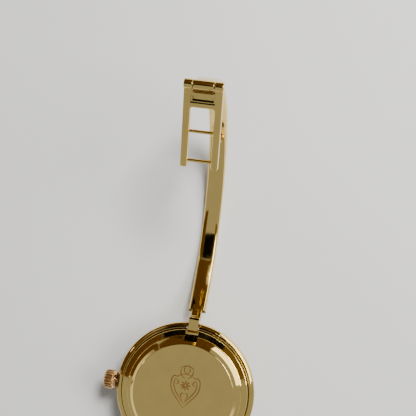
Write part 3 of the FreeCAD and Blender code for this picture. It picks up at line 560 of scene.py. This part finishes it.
class WATCH_OT_case_back(bpy.types.Operator):
    """Turn the snap-on case back, notch it and engrave its ornament"""

    bl_idname = "watch.case_back"
    bl_label = "Case Back"

    def execute(self, context):
        sizes = case_sizes()
        section = [
            (8.35, -0.5), (8.35, -2.7), (8.85, -2.7), (8.85, -2.45), (11.65, -2.45), (11.65, -1.85),
            (11.58, -1.71), (10.56, -1.5), (10.5, -1.15), (9.78, -0.64), (9.25, -0.05), (9.2, 0.0),
        ]
        back = lathe("engraved_case_back", section, sizes.segments, closed=False)
        round_edges(back, 0.05, steps=2, limit=12.0)
        for side in (1, -1):
            carve(back, tongue_notch("back_notch", side))
        engrave(back)
        finish_piece(back, "case", gold_back(), ("case_back",), smooth=10.0)
        back.data.materials.append(engraved_gold())
        for face in back.data.polygons:
            near = Vector((face.center.x, face.center.y)).length < 8.5 * MM
            if near and -0.2 * MM < face.center.z < -0.002 * MM:
                face.material_index = 1
        return {"FINISHED"}


def stroke(points, width):
    """One engraved line: a thin tapering tube along a smooth curve that just dips into the plate."""
    put_down()
    bpy.ops.curve.primitive_nurbs_path_add()
    line = bpy.context.view_layer.objects.active
    line.data.splines.clear()
    spline = line.data.splines.new("NURBS")
    spline.points.add(len(points) - 1)
    count = len(points) - 1
    for index, (x, y) in enumerate(points):
        spline.points[index].co = (x, y, 0.02, 1.0)
        spline.points[index].radius = 1.0 if 0 < index < count else 0.45
    spline.order_u = 3
    spline.use_endpoint_u = True
    spline.resolution_u = 5
    line.data.bevel_depth = width / 2
    line.data.bevel_resolution = 1
    line.data.use_fill_caps = True
    pick_up(line)
    bpy.ops.object.convert(target="MESH")
    return bpy.context.view_layer.objects.active


def ornament_lines(centre_x, centre_y):
    """A plain foliate ornament: a pointed leaf outline, an eight-petalled rosette and a small fan above."""
    lines = []
    for side in (-1, 1):
        leaf = [(0.0, -4.1), (side * 1.0, -2.9), (side * 2.5, -1.2), (side * 2.75, 0.6), (side * 2.3, 1.7),
                (side * 1.5, 1.35), (side * 1.05, 1.9)]
        vein = [(0.0, -3.3), (side * 0.85, -2.3), (side * 1.95, -0.9), (side * 2.2, 0.4), (side * 1.9, 1.1)]
        curl = [(side * 1.9, 1.1), (side * 1.35, 0.75), (side * 1.3, 0.2), (side * 1.75, 0.1)]
        lines += [leaf, vein, curl]
        lines.append([(side * 0.25, -2.9), (side * 0.7, -1.9), (side * 0.55, -1.3), (side * 0.1, -1.55)])
        lines.append([(side * 0.2, 1.25), (side * 0.75, 1.5), (side * 1.3, 2.5), (side * 0.95, 3.0)])
        lines.append([(0.0, 2.05), (side * 0.45, 2.35), (side * 0.6, 3.1), (side * 0.25, 3.5)])
    lines.append([(-1.35, 2.95), (-0.8, 3.45), (0.0, 3.65), (0.8, 3.45), (1.35, 2.95)])
    lines.append([(-1.0, 1.95), (0.0, 2.15), (1.0, 1.95)])
    lines.append([(0.0, 2.05), (0.0, 3.3)])
    for petal in range(8):
        turn = math.radians(45.0 * petal)
        tip = (0.92 * math.sin(turn), 0.92 * math.cos(turn))
        for lean in (-0.3, 0.3):
            shoulder = (0.62 * math.sin(turn + lean), 0.62 * math.cos(turn + lean))
            root = (0.16 * math.sin(turn), 0.16 * math.cos(turn))
            lines.append([root, shoulder, tip])
    return [[(x + centre_x, y + centre_y) for x, y in line] for line in lines]


def engrave(plate):
    """Cut the ornament's lines and a short row of lozenges into the plate."""
    lines = ornament_lines(0.25, 1.75)
    for step in range(-2, 3):
        x, y = 0.95 * step, -5.3
        lines.append([(x - 0.3, y), (x, y + 0.38), (x + 0.3, y)])
        lines.append([(x - 0.3, y), (x, y - 0.38), (x + 0.3, y)])
    tools = [stroke(line, 0.2) for line in lines]
    put_down()
    for tool in tools:
        tool.select_set(True)
    bpy.context.view_layer.objects.active = tools[0]
    bpy.ops.object.join()
    use_modifier(plate, "BOOLEAN", operation="DIFFERENCE", object=tools[0], solver="EXACT", use_self=True)
    bpy.data.objects.remove(tools[0])


class WATCH_OT_bezel(bpy.types.Operator):
    """Turn the bezel that holds the glass"""

    bl_idname = "watch.bezel"
    bl_label = "Bezel"

    def execute(self, context):
        section = [(10.15, -4.75), (12.4, -4.75), (12.4, -5.0), (11.75, -5.3), (11.0, -5.4), (10.3, -5.4),
                   (10.15, -5.3)]
        ring = lathe("glass_bezel", section, case_sizes().segments, closed=True)
        round_edges(ring, 0.07, steps=3, limit=20.0)
        finish_piece(ring, "case", gold_case(), ("bezel",))
        return {"FINISHED"}


class WATCH_OT_crown(bpy.types.Operator):
    """Turn the crown, draw in its flutes and stand it on its stem"""

    bl_idname = "watch.crown"
    bl_label = "Crown"

    flutes: bpy.props.IntProperty(name="Flutes", description="Grooves round the crown", default=20)

    def execute(self, context):
        sides = self.flutes * 10
        section = [
            (0.95, 1.0), (0.95, 0.0), (1.5, 0.0), (1.5, 0.36), (1.7, 0.42), (1.78, 0.52), (1.78, 1.1),
            (1.78, 1.62), (1.7, 1.92), (1.5, 2.14), (1.2, 2.28), (0.75, 2.37), (0.3, 2.4),
        ]
        crown = lathe("fluted_crown", section, sides, closed=False)
        edit(crown)
        for share, depth in ((0.0, 0.87), (0.1, 0.885), (0.2, 0.94), (0.3, 0.985)):
            choose(crown, lambda point: self.in_flute(point.co, share))
            bpy.ops.transform.resize(value=(depth, depth, 1.0), center_override=(0.0, 0.0, 0.0))
        put_down()
        round_edges(crown, 0.04, steps=2, limit=38.0)
        crown.rotation_euler = (0.0, -math.pi / 2, 0.0)
        crown.location = (high_mm("crown")[0], 0.0, ARM_PIN_Z)
        finish_piece(crown, "crown", gold_crown(), ("crown",), smooth=40.0)
        return {"FINISHED"}

    def in_flute(self, place, share):
        """Whether a point of the rim lies the given share of the pitch away from the middle of a flute."""
        if not 0.4 < place.z < 2.0 or Vector((place.x, place.y)).length < 1.6:
            return False
        turn = math.atan2(place.y, place.x) / (2 * math.pi) * self.flutes
        away = abs(turn - round(turn))
        return abs(away - share) < 0.02


# ---------------------------------------------------------------- band and clasp


def bangle_arm(name, tip, side):
    """A bent bar with a narrower tongue at the case and a knuckle at each end."""
    sizes = band_sizes()
    start = math.radians(-33.0)
    bar = sweep(name, sizes.arm_width, sizes.arm_thickness, sizes.arm_chamfer, start, tip, side, 96)
    face_outwards(bar)
    neck = sweep(name + "_neck", sizes.tongue_width, sizes.arm_thickness, 0.12, math.radians(-37.5),
                 math.radians(-31.0), side, 8)
    face_outwards(neck)
    weld(bar, neck)
    pad_low = ARM_PIN_Z - sizes.knuckle
    pad = block(name + "_pad", (sizes.tongue_width, 2.1, 1.6), (0.0, ARM_PIN_Y + 1.05, ARM_PIN_Z))
    edit(pad)
    choose(pad, lambda point: point.co.y > ARM_PIN_Y + 1.0 and point.co.z < ARM_PIN_Z)
    bpy.ops.transform.translate(value=(0.0, 0.0, -0.55))
    choose(pad, lambda point: point.co.y < ARM_PIN_Y + 1.0 and point.co.z < pad_low + 0.01)
    bpy.ops.transform.translate(value=(0.0, 0.0, 0.02))
    put_down()
    clear = 0.002
    weld(pad, rod(name + "_knuckle", sizes.knuckle - clear, sizes.tongue_width - clear,
                  (0.0, ARM_PIN_Y, ARM_PIN_Z), "X", 48))
    if side < 0:
        pad.rotation_euler = (0.0, 0.0, math.pi)
        settle(pad)
    round_edges(pad, 0.13, steps=3, limit=35.0)
    weld(bar, pad)
    reach = sizes.arm_radius
    tip_place = (0.0, side * (sizes.bend_y + reach * math.sin(tip)), sizes.bend_z - reach * math.cos(tip))
    barrel = rod(name + "_barrel", sizes.knuckle, sizes.arm_width, tip_place, "X", 56)
    round_edges(barrel, 0.1, steps=3, limit=60.0)
    weld(bar, barrel)
    return bar


class WATCH_OT_arms(bpy.types.Operator):
    """Bend the two bangle arms"""

    bl_idname = "watch.arms"
    bl_label = "Bangle Arms"

    def execute(self, context):
        sizes = band_sizes()
        gold = gold_band()
        ladder_arm = bangle_arm("long_bangle_arm", sizes.ladder_tip, 1)
        finish_piece(ladder_arm, "ladder_arm", gold, ("ladder_arm",))
        hook_arm = bangle_arm("short_bangle_arm", sizes.hook_tip, -1)
        finish_piece(hook_arm, "hook_arm", gold, ("hook_arm",))
        return {"FINISHED"}


class WATCH_OT_ladder(bpy.types.Operator):
    """Cut the adjusting ladder from a plate and hang it from the long arm"""

    bl_idname = "watch.ladder"
    bl_label = "Adjusting Ladder"

    width: number("Width", "Width of the ladder in millimetres", 6.1)
    length: number("Length", "Hinge axis to the rail ends", 13.7)
    rail: number("Rail", "Width of one rail", 1.2)
    head: number("Head", "Hinge axis to the first window", 3.6)
    thickness: number("Thickness", "Thickness of the plate", 1.0)

    def execute(self, context):
        band = band_sizes()
        tall = self.thickness
        plate = block("adjusting_ladder", (self.width, self.length, tall), (0.0, self.length / 2, 0.0))
        window = self.width - 2 * self.rail
        carve(plate, block("window", (window, self.length, tall * 3),
                           (0.0, self.head + self.length / 2, 0.0)))
        carve(plate, block("hinge_room", (3.36, 1.84, tall * 3), (0.0, 0.0, 0.0)))
        round_edges(plate, 0.3, steps=4, limit=60.0)
        carve(plate, block("slot_recess", (3.8, 1.35, 0.6), (0.0, 2.15, -tall / 2)))
        carve(plate, block("slot", (3.3, 0.85, 1.5), (0.0, 2.15, -tall / 2)))
        for side in (1, -1):
            ear_width = self.width / 2 - BARREL_ROOM
            ear = rod("ear", band.knuckle, ear_width, (side * (BARREL_ROOM + ear_width / 2), 0.0, 0.0), "X", 48)
            round_edges(ear, 0.12, steps=3, limit=60.0)
            weld(plate, ear)
        reach = band.arm_radius
        plate.rotation_euler = (-(math.pi - band.ladder_drop), 0.0, 0.0)
        plate.location = (0.0, band.bend_y + reach * math.sin(band.ladder_tip),
                          band.bend_z - reach * math.cos(band.ladder_tip))
        finish_piece(plate, "ladder", gold_band(), ("ladder_frame",))
        return {"FINISHED"}


class WATCH_OT_lever(bpy.types.Operator):
    """Bend the hook lever that folds over the short arm"""

    bl_idname = "watch.lever"
    bl_label = "Hook Lever"

    def execute(self, context):
        band = band_sizes()
        tip = band.hook_tip
        width, thickness, gap = 4.6, 0.9, 0.3
        plain_radius = band.arm_radius
        band.arm_radius = plain_radius + band.arm_thickness / 2 + gap + 0.45
        lever = sweep("hook_cover_lever", width, thickness, 0.1, tip - math.radians(27.0), tip, -1, 36)
        band.arm_radius = plain_radius
        face_outwards(lever)
        pin_y = -(band.bend_y + plain_radius * math.sin(tip))
        pin_z = band.bend_z - plain_radius * math.cos(tip)
        slope = (LEVER_TILT, 0.0, 0.0)
        across = width / 2 - BARREL_ROOM
        for side in (1, -1):
            x = side * (BARREL_ROOM + across / 2)
            ear = rod("ear", band.knuckle, across, (x, pin_y, pin_z), "X", 40)
            weld(ear, block("web", (across - 0.02, 1.1, 1.1), (x, pin_y - 0.62, pin_z + 0.08), slope))
            round_edges(ear, 0.08, steps=2, limit=60.0)
            weld(lever, ear)
        claw = block("claw", (1.6, 1.35, 1.0), (0.0, pin_y - 0.85, pin_z + 1.38), slope)
        weld(claw, block("claw_lip", (1.6, 1.2, 0.5), (0.0, pin_y - 0.45, pin_z + 1.75), slope))
        round_edges(claw, 0.12, steps=3, limit=60.0)
        weld(lever, claw)
        finish_piece(lever, "hook_lever", gold_band(), ("hook_lever",))
        return {"FINISHED"}


class WATCH_OT_carried_parts(bpy.types.Operator):
    """Give every CAD part that stays its finish"""

    bl_idname = "watch.carried_parts"
    bl_label = "Carried-over Parts"

    def execute(self, context):
        made = {}
        for part in frame["record"]["subparts"]:
            node = frame["nodes"][part["node"]]
            slot = part["material_slot"]
            if slot not in made:
                made[slot] = slot_finish(slot)
            if not node.material_slots:
                node.data.materials.append(made[slot])
            for place in node.material_slots:
                place.material = made[slot]
        return {"FINISHED"}


# ---------------------------------------------------------------- stage


def card(name, size, centre, aim, colour, strength):
    """A flat card that shows only in reflections."""
    put_down()
    bpy.ops.mesh.primitive_plane_add(size=1.0)
    obj = bpy.context.view_layer.objects.active
    obj.name = name
    obj.scale = (size[0] * MM, size[1] * MM, 1.0)
    way = Vector(aim) - Vector(centre)
    obj.rotation_euler = way.to_track_quat("Z", "Y").to_euler()
    obj.location = [value * MM for value in centre]
    bpy.ops.object.transform_apply(location=True, rotation=True, scale=True)
    material = bpy.data.materials.new(name)
    material.use_nodes = True
    nodes = material.node_tree.nodes
    nodes.clear()
    glow = nodes.new("ShaderNodeEmission")
    glow.inputs["Color"].default_value = (*colour, 1.0)
    glow.inputs["Strength"].default_value = strength
    output = nodes.new("ShaderNodeOutputMaterial")
    material.node_tree.links.new(glow.outputs["Emission"], output.inputs["Surface"])
    obj.data.materials.append(material)
    obj.visible_camera = False
    obj.visible_diffuse = False
    obj.visible_shadow = False
    obj.visible_transmission = False
    obj.visible_volume_scatter = False
    return obj


def soft_light(name, size, centre, aim, power, colour):
    put_down()
    bpy.ops.object.light_add(type="AREA", location=[value * MM for value in centre])
    lamp = bpy.context.view_layer.objects.active
    lamp.name = name
    way = Vector(aim) - Vector(centre)
    lamp.rotation_euler = way.to_track_quat("-Z", "Y").to_euler()
    lamp.data.shape = "RECTANGLE"
    lamp.data.size = size[0] * MM
    lamp.data.size_y = size[1] * MM
    lamp.data.energy = power
    lamp.data.color = colour
    return lamp


class WATCH_OT_camera(bpy.types.Operator):
    """Set up the camera above the watch"""

    bl_idname = "watch.camera"
    bl_label = "Camera"

    def execute(self, context):
        put_down()
        turn = [math.radians(angle) for angle in (-0.981, 6.834, 7.647)]
        bpy.ops.object.camera_add(location=(0.01794, 0.03924, 0.15341), rotation=turn)
        camera = bpy.context.view_layer.objects.active
        camera.name = "watch_camera"
        camera.data.sensor_width = 36.0
        camera.data.lens = 74.39
        camera.data.clip_start = 0.005
        camera.data.dof.use_dof = False
        context.scene.camera = camera
        return {"FINISHED"}


class WATCH_OT_stage(bpy.types.Operator):
    """Lay the table and light the watch"""

    bl_idname = "watch.stage"
    bl_label = "Table and Light"

    def execute(self, context):
        look = finishes()
        put_down()
        bpy.ops.mesh.primitive_plane_add(size=1.6, location=(0.0, 0.0, CAD_BOX[0][2] - 0.00001))
        table = bpy.context.view_layer.objects.active
        table.name = "table_top"
        bpy.ops.object.transform_apply(location=True, rotation=True, scale=True)
        top = Finish("table_paint")
        tone = tuple(look.floor)
        cloud = top.pattern(0.02, detail=3.0)
        tint = top.ramp(cloud, "Fac", [(0.3, shade(tone, 0.985)), (0.7, shade(tone, 1.01))])
        top.link(tint, "Color", top.shader, "Base Color")
        tooth = top.pattern(2.2, detail=3.0)
        top.link(top.span(tooth, "Fac", 0.5, 0.62), "Result", top.shader, "Roughness")
        top.bump(tooth, "Fac", 0.08, 0.02)
        table.data.materials.append(top.material)

        world = context.scene.world or bpy.data.worlds.new("room")
        context.scene.world = world
        world.use_nodes = True
        sky = world.node_tree.nodes["Background"]
        sky.inputs["Color"].default_value = (0.97, 0.985, 1.0, 1.0)
        self.dim_for_matt_surfaces(world, sky)

        watch_middle, warm_white = (0.0, 20.0, 0.0), (1.0, 0.985, 0.95)
        soft_light("window", (260.0, 200.0), (300.0, 120.0, 334.0), watch_middle, look.window_power, warm_white)
        soft_light("key_lamp", (105.0, 105.0), (126.0, 230.0, 378.0), watch_middle, look.key_power, warm_white)
        self.lay_cards()
        return {"FINISHED"}

    def dim_for_matt_surfaces(self, world, sky):
        """The room lights matt surfaces less than it shows in gloss, so that shadows stay deep."""
        nodes, links = world.node_tree.nodes, world.node_tree.links
        path = nodes.new("ShaderNodeLightPath")
        level = nodes.new("ShaderNodeMapRange")
        level.inputs["To Min"].default_value = finishes().room
        level.inputs["To Max"].default_value = finishes().room * 0.55
        links.new(path.outputs["Is Diffuse Ray"], level.inputs["Value"])
        links.new(level.outputs["Result"], sky.inputs["Strength"])

    def lay_cards(self):
        """Cards that show only in the gold, as painted reflections that light nothing: two glowing window
        panes, dark sheets for the dark side of the room and a small glowing card for a lamp's glint.
        """
        black = (0.004, 0.004, 0.004)
        brown = (0.105, 0.052, 0.008)
        umber = (0.16, 0.1, 0.03)
        # Painted dark reflections: black and brown sheets that show only in the gold.
        card("dark_card", (90.0, 54.0), (-15.0, 42.0, 153.5), (-15.0, 42.0, 0.0), black, 1.0)
        card("umber_card", (102.0, 100.0), (81.0, 42.0, 153.5), (81.0, 42.0, 0.0), umber, 1.0)
        card("brown_card", (300.0, 200.0), (-30.0, 170.0, 150.0), (-30.0, 170.0, 0.0), brown, 1.0)
        card("left_top_card", (245.0, 104.0), (-182.0, 17.0, 150.0), (-182.0, 17.0, 0.0), brown, 1.0)
        card("far_card", (420.0, 150.0), (-90.0, 270.0, 76.0), (-90.0, 0.0, 76.0), brown, 1.0)
        card("left_card", (290.0, 150.0), (-300.0, 118.0, 76.0), (0.0, 118.0, 76.0), brown, 1.0)
        # Painted glint: a small glowing card that shows only in reflections and lights nothing.
        card("small_lamp_glint_card", (26.0, 30.0), (-270.0, 70.0, 104.0), (0.0, 5.0, 0.0), (1.0, 0.97, 0.92), 3.0)
        card("black_patch", (76.0, 50.0), (-107.0, 205.0, 138.0), (0.0, 10.0, 0.0), black, 1.0)
        # Painted reflections of a window: two glowing panes that show only in the gold and light nothing.
        away, out, up = 500.0, 418.0, 272.0
        for low, high in ((7.0, 39.5), (41.5, 69.0)):
            middle = math.radians((low + high) / 2)
            width = 2 * away * math.tan(math.radians((high - low) / 2))
            centre = (out * math.cos(middle), out * math.sin(middle), up)
            card("window_pane_reflection_card", (width, 200.0), centre, (0.0, 0.0, 0.0), (1.0, 0.98, 0.93), 3.4)


# ---------------------------------------------------------------- panel


class WATCH_PT_panel(bpy.types.Panel):
    """The watch's pieces, in the order they are made"""

    bl_idname = "WATCH_PT_panel"
    bl_label = "Bangle Watch"
    bl_space_type = "VIEW_3D"
    bl_region_type = "UI"
    bl_category = "Bangle Watch"

    def draw(self, context):
        scene = context.scene
        for group in (scene.watch_case, scene.watch_band, scene.watch_finish):
            column = self.layout.column(align=True)
            for key in group.bl_rna.properties.keys():
                if key not in ("rna_type", "name"):
                    column.prop(group, key)
        for step in STEPS:
            self.layout.operator(step.bl_idname)


STEPS = (
    WATCH_OT_camera,
    WATCH_OT_carried_parts,
    WATCH_OT_case_middle,
    WATCH_OT_case_back,
    WATCH_OT_bezel,
    WATCH_OT_crown,
    WATCH_OT_arms,
    WATCH_OT_ladder,
    WATCH_OT_lever,
    WATCH_OT_stage,
)
CLASSES = (WatchCaseSizes, WatchBandSizes, WatchFinishes, *STEPS, WATCH_PT_panel)


def register():
    for kind in CLASSES:
        bpy.utils.register_class(kind)
    bpy.types.Scene.watch_case = bpy.props.PointerProperty(type=WatchCaseSizes)
    bpy.types.Scene.watch_band = bpy.props.PointerProperty(type=WatchBandSizes)
    bpy.types.Scene.watch_finish = bpy.props.PointerProperty(type=WatchFinishes)


def unregister():
    del bpy.types.Scene.watch_finish
    del bpy.types.Scene.watch_band
    del bpy.types.Scene.watch_case
    for kind in reversed(CLASSES):
        bpy.utils.unregister_class(kind)


def main():
    register()
    for step in STEPS:
        group, name = step.bl_idname.split(".")
        getattr(getattr(bpy.ops, group), name)()
    put_down()


if __name__ == "__main__":
    main()
